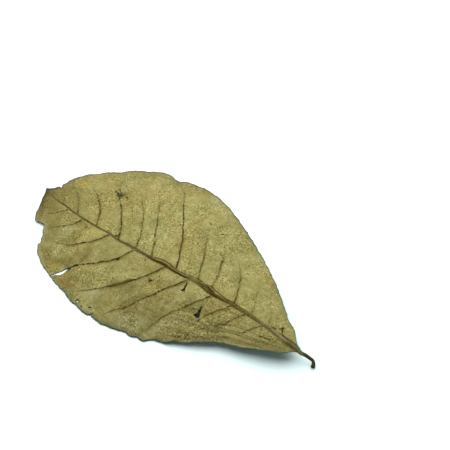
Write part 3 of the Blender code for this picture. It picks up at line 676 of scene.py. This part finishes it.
def leaf_grids():
    """Top and under grids of the leaf, and the marks that its material reads, all worked out from the
    distance along the leaf and the place across it: a row runs from the left edge over the rib, whose
    height is a power of a cosine, to the right edge. Before the foot only the rib is left, as the stalk."""
    along = row_stations()
    count = len(along)
    on_blade = along >= 0
    stalk = smooth(along, STALK_ALONG, STALK_PATH)
    centre = np.where(on_blade[:, None], np.stack([midrib_x(along), along], 1), stalk)
    ahead = smooth(along + 0.4, STALK_ALONG, STALK_PATH) - smooth(along - 0.4, STALK_ALONG, STALK_PATH)
    turn = np.where(along < -0.5, np.arctan2(ahead[:, 0], np.maximum(ahead[:, 1], 1e-6)), 0)
    turn = turn * (1 - ramp(along, -3.0, 0.0))
    sideways = np.stack([np.cos(turn), -np.sin(turn)], 1)
    size = np.ones(count)
    size[0] = 0
    half = smooth(along, RIB_AT, RIB_HALF_WIDTH) * size
    rise = smooth(along, RIB_AT, RIB_RISE) * size
    depth = smooth(along, RIB_AT, RIB_DEPTH) * size
    thick = (BLADE_THICKNESS * ramp(along, -1.3, 1.5))[:, None]
    lift = np.where(on_blade, 0, smooth(along, RIDGE_AT, RIDGE_HEIGHT))[:, None]
    blade = on_blade[:, None]
    parts = {}
    for side in (-1, 1):
        veins = RIGHT_VEINS if side > 0 else LEFT_VEINS
        shares = np.linspace(0, 1, BLADE_COLUMNS)
        spot = blade_rows(np.maximum(along, 0), shares, side)
        spot = np.where(blade[..., None], spot, (centre + side * half[:, None] * sideways)[:, None])
        spot[size == 0] = centre[0]
        under = np.where(blade, level(spot[..., 0], spot[..., 1]), 0)
        puff = PUFF_BETWEEN_VEINS * between_veins(along, veins)[:, None] * np.sin(math.pi * shares)[None]
        puff = (puff + wrinkles(along[:, None], shares[None], side)) * ramp(under, 0.5, 2.5) * blade
        ridge, nearest, dark = vein_lines(along, shares, side)
        ridge = ridge * ramp(shares, 0.0, 0.02)[None] * blade
        top = under + thick + puff + ridge
        low = under + puff - np.minimum(VEIN_SHOWS_BELOW * ridge, under * 0.6)
        length = np.linalg.norm(spot[:, -1] - spot[:, 0], axis=1)[:, None]
        reach = side * (half[:, None] + shares[None] * length)
        rim = np.where(blade, (1 - shares[None]) * length, FAR_OFF)
        flat = np.broadcast_to(side * (1 + shares)[None], reach.shape)
        beside = side * (1 + shares[None] * length)
        furrow_shade = rib_lines(RIB_GROOVES_AND_SHADE, along[:, None], beside) * blade
        pales = rib_lines(RIB_PALE, along[:, None], beside) * blade
        parts[side] = (spot, top + lift, low + lift, nearest, dark * blade, reach, rim, flat, furrow_shade, pales)
    angle = np.linspace(-math.pi / 2, math.pi / 2, RIB_COLUMNS)[None, 1:-1]
    across = np.broadcast_to(angle / (math.pi / 2), (count, RIB_COLUMNS - 2))
    spot = centre[:, None] + (np.sin(angle) * half[:, None])[..., None] * sideways[:, None]
    under = np.where(blade, level(spot[..., 0], spot[..., 1]), 0)
    furrow_shade = rib_lines(RIB_GROOVES_AND_SHADE, along[:, None], across)
    pales = rib_lines(RIB_PALE, along[:, None], across)
    worn = 1 - GROOVE_SHARE_OF_RISE * furrow_shade
    top = under + thick + rise[:, None] * np.cos(angle) ** RIB_ROUNDNESS * worn
    low = under - depth[:, None] * np.cos(angle)
    far = np.full_like(top, FAR_OFF)
    reach = np.sin(angle) * half[:, None]
    nothing = np.zeros_like(top)
    parts[0] = (spot, top + lift, low + lift, far, nothing, reach, far, across, furrow_shade, pales)
    sides = zip(parts[-1], parts[0], parts[1])
    columns = [np.concatenate([left[:, ::-1], rib, right], 1) for left, rib, right in sides]
    spot, top, low, nearest, dark, reach, rim, across, furrow_shade, pales = columns
    top = np.dstack([spot, np.maximum(top, 0)])
    low = np.dstack([spot, np.maximum(low, 0)])
    length = np.broadcast_to(along[:, None], reach.shape)
    marks = {
        "vein_off": nearest, "vein_dark": dark, "along": length, "reach": reach, "rim": rim,
        "across": across, "rib_groove_and_shade": furrow_shade, "rib_pale": pales,
    }
    return top, low, marks


def new_object(name, data):
    """New object of the data, in the scene."""
    made = bpy.data.objects.new(name, data)
    bpy.context.scene.collection.objects.link(made)
    return made


def closed_mesh(name, top, low, marks):
    """Closed skin over the two grids with a wall round the edge. Both faces are split into the same
    triangles, whose slant turns over at the midrib, and points that fall together are one."""
    rows, columns = top.shape[:2]
    size = rows * columns
    points = np.concatenate([top.reshape(-1, 3), low.reshape(-1, 3)])
    points = (points - np.array([MIDDLE_OF_BOX[0], MIDDLE_OF_BOX[1], 0.0])) * MM
    points = np.clip(points, CAD_LOW, CAD_HIGH)
    index = np.arange(size).reshape(rows, columns)
    a, b = index[:-1, :-1].ravel(), index[:-1, 1:].ravel()
    c, d = index[1:, 1:].ravel(), index[1:, :-1].ravel()
    first = np.tile(np.arange(columns - 1) < columns // 2, rows - 1)[:, None]
    tri_1 = np.where(first, np.stack([a, b, c], 1), np.stack([a, b, d], 1))
    tri_2 = np.where(first, np.stack([a, c, d], 1), np.stack([b, c, d], 1))
    upper = np.concatenate([tri_1, tri_2])
    under = upper[:, ::-1] + size
    right, left = index[:, -1], index[:, 0]
    wall = [
        np.stack([right[:-1], right[:-1] + size, right[1:] + size], 1),
        np.stack([right[:-1], right[1:] + size, right[1:]], 1),
        np.stack([left[:-1], left[1:], left[1:] + size], 1),
        np.stack([left[:-1], left[1:] + size, left[:-1] + size], 1),
    ]
    faces = np.concatenate([upper, under] + wall)
    keys = np.round(points / (MERGE_WITHIN * MM)).astype(np.int64)
    _, first_seen, same = np.unique(keys, axis=0, return_index=True, return_inverse=True)
    faces = same.reshape(-1)[faces]
    solid = (faces[:, 0] != faces[:, 1]) & (faces[:, 1] != faces[:, 2]) & (faces[:, 0] != faces[:, 2])
    faces = faces[solid]
    mesh = bpy.data.meshes.new(name)
    mesh.vertices.add(len(first_seen))
    mesh.vertices.foreach_set("co", points[first_seen].astype(np.float32).ravel())
    mesh.loops.add(len(faces) * 3)
    mesh.loops.foreach_set("vertex_index", faces.astype(np.int32).ravel())
    mesh.polygons.add(len(faces))
    mesh.polygons.foreach_set("loop_start", np.arange(0, len(faces) * 3, 3, dtype=np.int32))
    for mark, values in marks.items():
        layer = mesh.attributes.new(mark, "FLOAT", "POINT")
        both = np.concatenate([values.ravel(), values.ravel()])[first_seen]
        layer.data.foreach_set("value", both.astype(np.float32))
    mesh.update(calc_edges=True)
    mesh.validate()
    return new_object(name, mesh)


def round_outline(cx, cy, rx, ry):
    """Outline of twelve corners round an oval, from its middle and its half-widths."""
    return [(cx + rx * math.cos(k * math.pi / 6), cy + ry * math.sin(k * math.pi / 6)) for k in range(12)]


def upright_prisms(name, outlines):
    """One mesh of upright prisms, each with an outline seen from above."""
    low, high = CUTTER_HEIGHTS
    mesh = bmesh.new()
    for outline in outlines:
        ring = [((x - MIDDLE_OF_BOX[0]) * MM, (y - MIDDLE_OF_BOX[1]) * MM) for x, y in outline]
        bottom = [mesh.verts.new((x, y, low * MM)) for x, y in ring]
        top = [mesh.verts.new((x, y, high * MM)) for x, y in ring]
        for i, here in enumerate(bottom):
            j = (i + 1) % len(bottom)
            mesh.faces.new((here, bottom[j], top[j], top[i]))
        mesh.faces.new(bottom)
        mesh.faces.new(top)
    bmesh.ops.triangulate(mesh, faces=mesh.faces)
    bmesh.ops.recalc_face_normals(mesh, faces=mesh.faces)
    data = bpy.data.meshes.new(name)
    mesh.to_mesh(data)
    mesh.free()
    return new_object(name, data)


def cut_gaps(part, outlines):
    """Cuts the gaps through the part, keeps the result as plain geometry and drops the cutter."""
    cutter = upright_prisms("gap_cutter", outlines)
    modifier = part.modifiers.new("gaps", "BOOLEAN")
    modifier.operation = "DIFFERENCE"
    modifier.solver = "EXACT"
    modifier.object = cutter
    bpy.context.view_layer.update()
    depsgraph = bpy.context.evaluated_depsgraph_get()
    cut = bpy.data.meshes.new_from_object(part.evaluated_get(depsgraph), depsgraph=depsgraph)
    part.modifiers.clear()
    part.data = cut
    bpy.data.objects.remove(cutter, do_unlink=True)


# ---- materials
def rgb(colour):
    """Linear surface colour that looks in this light as the screen colour given, from 0 to 255."""
    parts = [v / 255 for v in colour]
    return [(v / 12.92 if v <= 0.04045 else ((v + 0.055) / 1.055) ** 2.4) / LIT for v in parts] + [1.0]


class Nodes:
    """Short way to build a node material: most calls add one node and return its output socket."""

    def __init__(self, name):
        self.material = bpy.data.materials.new(name)
        self.material.use_nodes = True
        self.tree = self.material.node_tree
        self.shader = self.tree.nodes["Principled BSDF"]
        self.ground = None

    def put(self, socket, value):
        """Links another node's output to the socket, or sets a plain value on it."""
        if isinstance(value, bpy.types.NodeSocket):
            self.tree.links.new(value, socket)
        else:
            socket.default_value = value

    def node(self, kind, inputs, **settings):
        """New node, not its output, with its settings and with what goes into its inputs."""
        made = self.tree.nodes.new("ShaderNode" + kind)
        for setting, value in settings.items():
            setattr(made, setting, value)
        for socket, value in inputs.items():
            self.put(made.inputs[socket], value)
        return made

    def attribute(self, name):
        """Mark that the mesh carries at each point."""
        return self.node("Attribute", {}, attribute_name=name).outputs["Fac"]

    def place(self):
        """Place on the leaf, in metres."""
        return self.node("TexCoord", {}).outputs["Object"]

    def vector(self, x, y, z=0.0):
        """Vector made of three values."""
        return self.node("CombineXYZ", {"X": x, "Y": y, "Z": z}).outputs["Vector"]

    def moved(self, vector, location=(0, 0, 0), scale=(1, 1, 1)):
        """Vector moved and stretched, so that a pattern falls elsewhere."""
        return self.node("Mapping", {"Vector": vector, "Location": location, "Scale": scale}).outputs["Vector"]

    def noise(self, vector, scale, detail=3.0, rough=0.55):
        """Soft noise from 0 to 1."""
        inputs = {"Vector": vector, "Scale": scale, "Detail": detail, "Roughness": rough}
        return self.node("TexNoise", inputs).outputs["Fac"]

    def cell_edge(self, vector, scale):
        """Distance to the edge of the cell it is in."""
        inputs = {"Vector": vector, "Scale": scale}
        return self.node("TexVoronoi", inputs, feature="DISTANCE_TO_EDGE").outputs["Distance"]

    def dots(self, vector, scale, radius, share):
        """1 in small dots, one to a cell, in the share of the cells given."""
        cells = self.node("TexVoronoi", {"Vector": vector, "Scale": scale})
        split = self.node("SeparateColor", {"Color": cells.outputs["Color"]})
        chosen = self.maths("LESS_THAN", split.outputs["Red"], share)
        size = self.times(split.outputs["Green"], radius)
        inside = self.spread(self.maths("SUBTRACT", cells.outputs["Distance"], size), 0.0, 0.05, 1.0, 0.0)
        return self.times(chosen, inside)

    def maths(self, kind, a, b=0.0, clamp=False):
        """Result of a sum on one or two values."""
        return self.node("Math", {0: a, 1: b}, operation=kind, use_clamp=clamp).outputs[0]

    def times(self, a, b):
        """Product of two values."""
        return self.maths("MULTIPLY", a, b)

    def plus(self, a, b):
        """Sum of two values."""
        return self.maths("ADD", a, b)

    def swing(self, value, size):
        """A value from 0 to 1 turned into one that swings about 0."""
        return self.times(self.maths("SUBTRACT", value, 0.5), size)

    def spread(self, value, low, high, to_low=0.0, to_high=1.0):
        """Goes smoothly from to_low where the value is low to to_high where it is high. Low may be the
        larger of the two."""
        if low > high:
            low, high, to_low, to_high = high, low, to_high, to_low
        inputs = {"Value": value, "From Min": low, "From Max": high, "To Min": to_low, "To Max": to_high}
        return self.node("MapRange", inputs, interpolation_type="SMOOTHSTEP").outputs["Result"]

    def mix(self, share, first, second, blend="MIX"):
        """The first colour where the share is 0, the second, or their blend, where it is 1."""
        inputs = {"Factor": share, "A": first, "B": second}
        return self.node("Mix", inputs, data_type="RGBA", blend_type=blend).outputs["Result"]

    def paint(self, share, strength, colour):
        """Paints a colour over the ground where the share is 1, as strongly as given."""
        self.ground = self.mix(self.maths("MULTIPLY", share, strength, clamp=True), self.ground, rgb(colour))

    def vectors(self, kind, a, b=(0, 0, 0), out="Value"):
        """Result of a sum on one or two vectors."""
        return self.node("VectorMath", {0: a, 1: b}, operation=kind).outputs[out]

    def blot(self, vector, at, reach, turn, wobble, soft):
        """1 in the middle of an oval blot seen from above, 0 past its reach, its outline broken up."""
        x = (at[0] - MIDDLE_OF_BOX[0]) * MM
        y = (at[1] - MIDDLE_OF_BOX[1]) * MM
        long, wide = reach[0] * MM, reach[1] * MM
        lean, rise = math.cos(turn), math.sin(turn)
        offset = self.vectors("SUBTRACT", vector, (x, y, 0), "Vector")
        along = self.vectors("DOT_PRODUCT", offset, (lean / long, rise / long, 0))
        across = self.vectors("DOT_PRODUCT", offset, (-rise / wide, lean / wide, 0))
        away = self.plus(self.vectors("LENGTH", self.vector(along, across)), wobble)
        return self.spread(away, 1.0, 1.0 - soft)

    def stroke(self, vector, points, width, wobble):
        """1 along a thin stroke through the points, in mm, 0 past its half-width."""
        drawn = 0.0
        for (x0, y0), (x1, y1) in zip(points, points[1:]):
            middle = ((x0 + x1) / 2, (y0 + y1) / 2)
            reach = (math.hypot(x1 - x0, y1 - y0) / 2 + width, width)
            part = self.blot(vector, middle, reach, math.atan2(y1 - y0, x1 - x0), wobble, 0.6)
            drawn = self.maths("MAXIMUM", part, drawn)
        return drawn

    def colours_along(self, value, longest, stops):
        """Colour that changes along the leaf: each stop is a distance and its colour."""
        node = self.node("ValToRGB", {"Fac": self.maths("DIVIDE", value, longest)})
        elements = node.color_ramp.elements
        while len(elements) < len(stops):
            elements.new(0.5)
        for element, (at, colour) in zip(elements, stops):
            element.position = at / longest
            element.color = rgb(colour)
        return node.outputs["Color"]


def dried_leaf():
    """Dried leaf: mottled khaki ground, finer net of veins, soft patches, dark vein lines, streaked midrib,
    specks, a thin dark rim, and a matt, rough surface. Shade is painted beside the side veins, in the wrinkles
    by the foot, along the midrib, at the edges and in some patches and strokes; light is painted on the
    wrinkles, the midrib, some patches and a small sheen spot."""
    n = Nodes("dried_leaf")
    place = n.place()
    along, reach, across, rim = (n.attribute(mark) for mark in ("along", "reach", "across", "rim"))
    broad = n.noise(place, BROAD_NOISE, 3.0, 0.6)
    middle = n.noise(n.moved(place, (0.31, 0.17, 0.0)), MIDDLE_NOISE, 3.0, 0.6)
    small = n.noise(n.moved(place, (0.11, 0.47, 0.0)), SMALL_NOISE, 4.0, 0.65)
    grain = n.noise(n.moved(place, (0.71, 0.23, 0.0)), GRAIN_NOISE, 2.0, 0.6)
    n.ground = n.mix(n.spread(broad, 0.36, 0.64), rgb(GROUND_WARM), rgb(GROUND_GREEN))
    left = n.spread(reach, 1.0, -5.0)
    n.paint(left, 0.42, GROUND_LEFT)
    n.paint(n.spread(middle, 0.50, 0.70), 0.60, GROUND_PALE)
    darker = n.times(n.spread(middle, 0.52, 0.30), n.spread(left, 0.0, 1.0, 0.50, 0.95))
    n.paint(darker, 0.70, GROUND_DARK)
    n.paint(n.spread(small, 0.53, 0.28), 0.60, GROUND_DARK)
    n.paint(n.spread(small, 0.52, 0.74), 0.50, GROUND_PALE)
    n.paint(n.spread(along, 150.0, 176.0), 0.50, TIP_BROWN)
    n.paint(n.spread(along, 180.0, 199.0), 0.85, TIP_DARK)
    # finer veins: long cells laid along the rows between the side veins, and small ones inside them
    bent_along = n.plus(along, n.times(middle, 5.0))
    bent_reach = n.plus(reach, n.times(broad, 9.0))
    bent = n.vector(bent_along, bent_reach)
    ladder = n.spread(n.cell_edge(n.moved(bent, scale=(0.10, 0.30, 1.0)), 1.0), 0.09, 0.0)
    net = n.spread(n.cell_edge(bent, 0.62), 0.12, 0.0)
    n.paint(n.times(ladder, n.spread(small, 0.35, 0.6)), 0.32, GROUND_DARK)
    n.paint(net, 0.14, GROUND_DARK)
    # wrinkles beside the foot show as streaks of painted shade and painted light that fan out from it, with
    # thin dark lines along them
    fan = n.vector(n.times(along, 0.055), n.times(across, 26.0))
    streaks = n.noise(fan, 1.0, 4.0, 0.62)
    near_foot = n.times(n.spread(along, 84.0, 46.0), n.spread(reach, -2.0, -6.0))
    n.paint(n.times(n.spread(streaks, 0.46, 0.34), near_foot), 0.35, GROUND_DARK)
    n.paint(n.times(n.spread(streaks, 0.54, 0.68), near_foot), 0.55, GROUND_PALE)
    lines = n.spread(n.maths("ABSOLUTE", n.maths("SUBTRACT", streaks, 0.47)), 0.022, 0.004)
    lines = n.times(lines, n.spread(middle, 0.42, 0.56))
    n.paint(n.times(lines, near_foot), 0.75, VEIN_BROWN)
    wobble = n.swing(n.noise(place, 150.0, 4.0, 0.7), 1.7)
    # patches: the blade's own mottling, with painted shade and painted light in places
    for tint, x, y, long, wide, turn, strength in PATCHES:
        n.paint(n.blot(place, (x, y), (long, wide), turn, wobble, 0.85), strength, tint)
    # side veins, with soft painted shade beside them
    broken = n.noise(n.moved(place, (0.2, 0.6, 0.0)), 210.0, 3.0, 0.6)
    frayed = n.noise(n.moved(place, (0.5, 0.9, 0.0)), 560.0, 3.0, 0.65)
    off = n.maths("ABSOLUTE", n.attribute("vein_off"))
    off = n.plus(off, n.swing(frayed, 2.0))
    dark = n.attribute("vein_dark")
    beside = n.times(n.spread(off, 2.8, 0.2), n.spread(middle, 0.6, 0.4, 0.30, 1.0))
    n.paint(n.times(beside, dark), 0.60, GROUND_DARK)
    line = n.times(n.spread(off, 0.66, 0.14), n.maths("POWER", dark, 0.8))
    line = n.times(line, n.spread(broken, 0.36, 0.56, 0.58, 1.20))
    n.paint(line, 1.1, VEIN_BROWN)
    jag = n.swing(n.noise(place, 620.0, 3.0, 0.7), 2.2)
    # thin dark strokes: the leaf's own marks, with painted shade in its creases
    for strength, width, points in DARK_STROKES:
        n.paint(n.stroke(place, points, width, jag), strength, VEIN_BROWN)
    # midrib
    on_rib = n.spread(n.maths("ABSOLUTE", across), 1.02, 0.96)
    blade = n.ground
    n.ground = n.colours_along(along, BLADE_LENGTH, RIB_COLOURS)
    n.paint(n.spread(small, 0.56, 0.74), 0.30, RIB_LIGHT)
    n.paint(n.spread(broken, 0.46, 0.30), 0.35, RIB_LINE)
    n.ground = n.mix(n.times(on_rib, n.spread(along, 168.0, 116.0, 0.45, 1.0)), blade, n.ground)
    # pale lines of the midrib: painted highlights, and painted light on its near side
    n.paint(n.attribute("rib_pale"), n.spread(grain, 0.3, 0.6, 0.5, 1.0), RIB_LIGHT)
    # dark lines of the midrib: painted shade in its furrows, at its feet and on the blade beside it
    n.paint(n.attribute("rib_groove_and_shade"), n.spread(grain, 0.3, 0.5, 0.75, 1.1), RIB_LINE)
    # stalk and its cut end
    n.paint(n.spread(along, 1.0, -1.5), 0.80, STALK_PALE)
    n.paint(n.spread(along, -2.2, -4.6), 0.85, STALK_DARK)
    n.paint(n.spread(along, STALK_END + 0.3, STALK_END), 0.75, CUT_END)
    # rim: grey all round but the tip, with painted shade low on the left and where the edge curls, and dark
    # painted shade on the right
    lower_left = n.times(n.times(n.spread(along, 40.0, 55.0), n.spread(along, 122.0, 100.0)), left)
    right = n.spread(reach, 1.0, 6.0)
    curled = n.times(n.times(n.spread(along, 30.0, 45.0), n.spread(along, 95.0, 74.0)), left)
    greyed = n.times(n.spread(rim, 4.0, 0.5), n.spread(along, 185.0, 170.0))
    n.paint(greyed, 0.45, RIM_GREY)
    n.paint(n.times(n.spread(rim, 3.4, 0.2), lower_left), 0.50, RIM_SHADE)
    n.paint(n.times(n.spread(rim, 4.5, 0.3), curled), 0.55, RIM_SHADE)
    n.paint(n.times(n.spread(rim, 2.0, 0.6), right), 0.50, RIM_DARK)
    thin_line = n.times(n.spread(rim, 0.9, 0.3), n.spread(middle, 0.40, 0.60, 0.35, 1.0))
    n.paint(thin_line, 0.60, RIM_DARK)
    at_tip = n.times(n.spread(rim, 3.4, 0.3), n.spread(along, 172.0, 186.0))
    n.paint(at_tip, 0.75, RIM_DARK)
    # wider, softer painted shade along the right edge
    n.paint(n.times(n.spread(rim, 9.0, 2.0), right), 0.20, GROUND_DARK)
    # dots and specks
    n.paint(n.dots(place, 230.0, 0.15, 0.22), 0.50, SPECK_DARK)
    for x, y, long, wide, turn, strength in SPECKS:
        n.paint(n.blot(place, (x, y), (long, wide), turn, jag, 0.6), strength, SPECK_DARK)
    # sandy grain, stronger in places, and a slight drift of tint
    dusty = n.spread(n.noise(n.moved(place, (0.3, 0.8, 0.0)), 65.0, 2.0, 0.5), 0.36, 0.64, 0.36, 1.50)
    dust = n.times(n.spread(grain, 0.26, 0.74, -0.38, 0.38), dusty)
    tint = n.noise(n.moved(place, (0.9, 0.4, 0.0)), 85.0, 2.0, 0.5)
    redder = n.times(n.plus(dust, 1.0), n.spread(tint, 0.32, 0.68, 0.978, 1.022))
    bluer = n.plus(n.times(dust, 1.6), 1.0)
    bluer = n.times(bluer, n.spread(tint, 0.32, 0.68, 1.02, 1.00))
    n.ground = n.mix(1.0, n.ground, n.vector(redder, n.plus(dust, 1.0), bluer), "MULTIPLY")
    n.put(n.shader.inputs["Base Color"], n.ground)
    n.put(n.shader.inputs["Roughness"], n.spread(small, 0.2, 0.8, *LEAF_ROUGHNESS))
    n.put(n.shader.inputs["Specular IOR Level"], LEAF_GLOSS)
    # relief of the grain, the finer veins and the streaks
    bump = n.node("Bump", {"Strength": RELIEF_STRENGTH, "Distance": RELIEF_DEPTH})
    height = n.plus(n.times(grain, 0.35), n.times(small, 0.9))
    height = n.plus(height, n.times(net, 0.18))
    height = n.plus(height, n.times(ladder, 0.35))
    height = n.plus(height, n.times(n.times(streaks, near_foot), 2.0))
    n.put(bump.inputs["Height"], height)
    n.put(n.shader.inputs["Normal"], bump.outputs["Normal"])
    return n.material


def pale_floor():
    """Plain pale surface, a little bluish and hardly glossy."""
    n = Nodes("pale_floor")
    n.put(n.shader.inputs["Base Color"], FLOOR_COLOUR)
    n.put(n.shader.inputs["Roughness"], FLOOR_ROUGHNESS)
    n.put(n.shader.inputs["Specular IOR Level"], FLOOR_GLOSS)
    return n.material


def soft_light(name, at, towards, size, power, colour):
    """Round area light at one place, turned towards another."""
    data = bpy.data.lights.new(name, "AREA")
    data.shape = "DISK"
    data.size = size
    data.energy = power
    data.color = colour
    lamp = new_object(name, data)
    lamp.location = at
    lamp.rotation_euler = (Vector(towards) - Vector(at)).to_track_quat("-Z", "Y").to_euler()


# ---- the leaf
leaf = closed_mesh("leaf_skin", *leaf_grids())
cut_gaps(leaf, [SPLIT, NICK, SLOT, CRACK] + [round_outline(*hole) for hole in HOLES])
leaf.data.materials.clear()
leaf.data.materials.append(dried_leaf())
leaf.data.shade_smooth()
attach(leaf, "root")
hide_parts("leaf")

# ---- the surface, the view and the light
corners = [(x * FLOOR_HALF, y * FLOOR_HALF, 0) for x, y in ((-1, -1), (1, -1), (1, 1), (-1, 1))]
floor_data = bpy.data.meshes.new("floor")
floor_data.from_pydata(corners, [], [(0, 1, 2, 3)])
floor = new_object("floor", floor_data)
floor.location.z = -FLOOR_DROP
floor_data.materials.append(pale_floor())

camera_data = bpy.data.cameras.new("camera")
camera_data.lens = LENS
camera_data.sensor_width = SENSOR_WIDTH
camera_data.clip_start = CLIP_FROM
camera_data.clip_end = CLIP_TO
camera = new_object("camera", camera_data)
camera.location = Vector(CAMERA_AT) * MM
look = (Vector(LOOKS_AT) - Vector(CAMERA_AT)) * MM
camera.rotation_euler = look.to_track_quat("-Z", "Y").to_euler()
bpy.context.scene.camera = camera

light_at = Vector(AWAY_FROM_CAMERA) * LIGHT_BEYOND - Vector(CAMERA_RIGHT) * LIGHT_LEFT
light_at = light_at + Vector((0, 0, LIGHT_HEIGHT))
soft_light("key", light_at, (0, 0, 0), LIGHT_SIZE, LIGHT_POWER, LIGHT_COLOUR)

world = bpy.data.worlds.new("soft_room")
world.use_nodes = True
background = world.node_tree.nodes["Background"]
background.inputs["Color"].default_value = ROOM_COLOUR
background.inputs["Strength"].default_value = ROOM_STRENGTH
bpy.context.scene.world = world
bpy.context.scene.view_settings.view_transform = "Standard"
